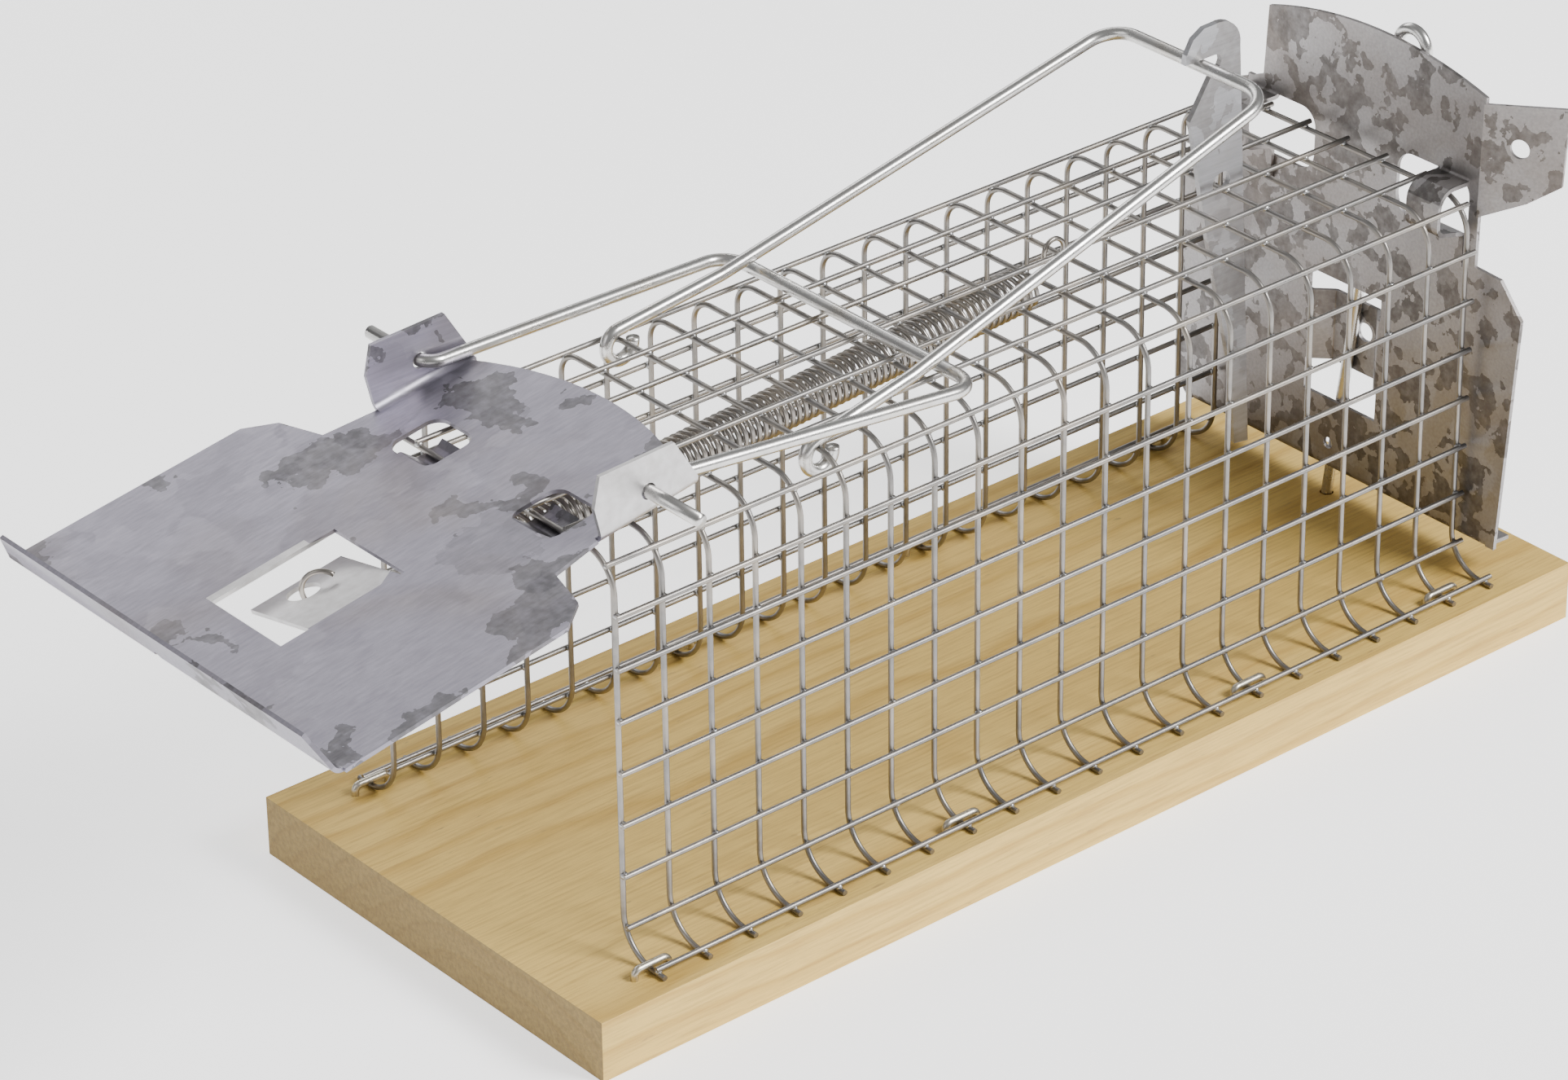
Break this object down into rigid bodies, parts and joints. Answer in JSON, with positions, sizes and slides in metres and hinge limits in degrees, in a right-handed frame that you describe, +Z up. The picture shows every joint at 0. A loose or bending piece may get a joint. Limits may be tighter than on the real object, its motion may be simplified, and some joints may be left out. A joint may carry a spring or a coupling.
{
  "type": "mouse_trap",
  "caption": "Live-catch mouse trap: wire-mesh cage on a wooden board, sprung front flap held open by wire bows and a bait trigger, hinged rear door with a sliding lock pin.",
  "frame": {"origin": "middle of the base board's underside", "axes": "+X along the board from the sprung front flap to the rear door, +Y across the board, +Z up from the board through the cage"},
  "size_m": [0.1815, 0.0605, 0.0788],
  "materials": {
    "pine": "sawn, unfinished softwood",
    "mesh_wire": "dull zinc-coated wire",
    "bow_wire": "bright drawn steel wire",
    "galvanised_sheet": "spangled, slightly stained zinc coating",
    "rear_sheet": "mottled, weathered zinc coating",
    "trigger_steel": "smooth dull steel",
    "spring_steel": "dull spring wire",
    "staple_wire": "bright steel"
  },
  "bodies": {
    "cage": {"base_board": "pine", "door_hinge_wire": "mesh_wire", "bow_pivot_wire": "mesh_wire", "spring_anchor_wire": "mesh_wire", "trigger_pivot_wire": "mesh_wire", "rear_hinge_wire": "mesh_wire", "cross_bows_front": "mesh_wire", "cross_bows_middle": "mesh_wire", "cross_bows_rear": "mesh_wire", "near_wall_wires": "mesh_wire", "far_wall_wires": "mesh_wire", "roof_wires": "mesh_wire", "corner_wires": "mesh_wire", "foot_wires": "mesh_wire", "near_staples": "staple_wire", "far_staples": "staple_wire"},
    "flap": {"front_flap": "galvanised_sheet"},
    "flap_bow_body": {"flap_bow": "bow_wire"},
    "set_bow_body": {"set_bow": "bow_wire"},
    "spring": {"door_spring": "spring_steel"},
    "trigger": {"trigger_plate": "trigger_steel"},
    "back_door": {"rear_door": "rear_sheet"},
    "pin": {"latch_pin": "bow_wire"}
  },
  "joints": [
    {"name": "flap_hinge", "type": "hinge", "parent": "cage", "child": "flap", "pos_m": [-0.0639, 0, 0.0559], "axis": [0, -1, 0], "range_deg": [0, 80], "deforming": ["door_spring"]},
    {"name": "flap_bow_pivot", "type": "hinge", "parent": "flap", "child": "flap_bow_body", "pos_m": [-0.05769, 0, 0.06112], "axis": [0, -1, 0], "range_deg": [0, 60]},
    {"name": "set_bow_hinge", "type": "hinge", "parent": "cage", "child": "set_bow_body", "pos_m": [-0.0323, 0, 0.0559], "axis": [0, -1, 0], "range_deg": [0, 110]},
    {"name": "spring_swing", "type": "hinge", "parent": "cage", "child": "spring", "pos_m": [0.01826, 0, 0.0559], "axis": [0, -1, 0], "range_deg": [0, 14]},
    {"name": "trigger_pivot", "type": "hinge", "parent": "cage", "child": "trigger", "pos_m": [0.04354, 0, 0.0559], "axis": [0, 1, 0], "range_deg": [0, 15]},
    {"name": "rear_door_hinge", "type": "hinge", "parent": "cage", "child": "back_door", "pos_m": [0.0625, 0, 0.0559], "axis": [0, -1, 0], "range_deg": [0, 75]},
    {"name": "pin_slide", "type": "slide", "parent": "back_door", "child": "pin", "axis": [0.026, -0.1141, 0.9931], "range_m": [-0.003, 0.012]}
  ],
  "couplings": [
    {"joint": "spring_swing", "follows": "flap_hinge", "ratio": 0.17}
  ]
}
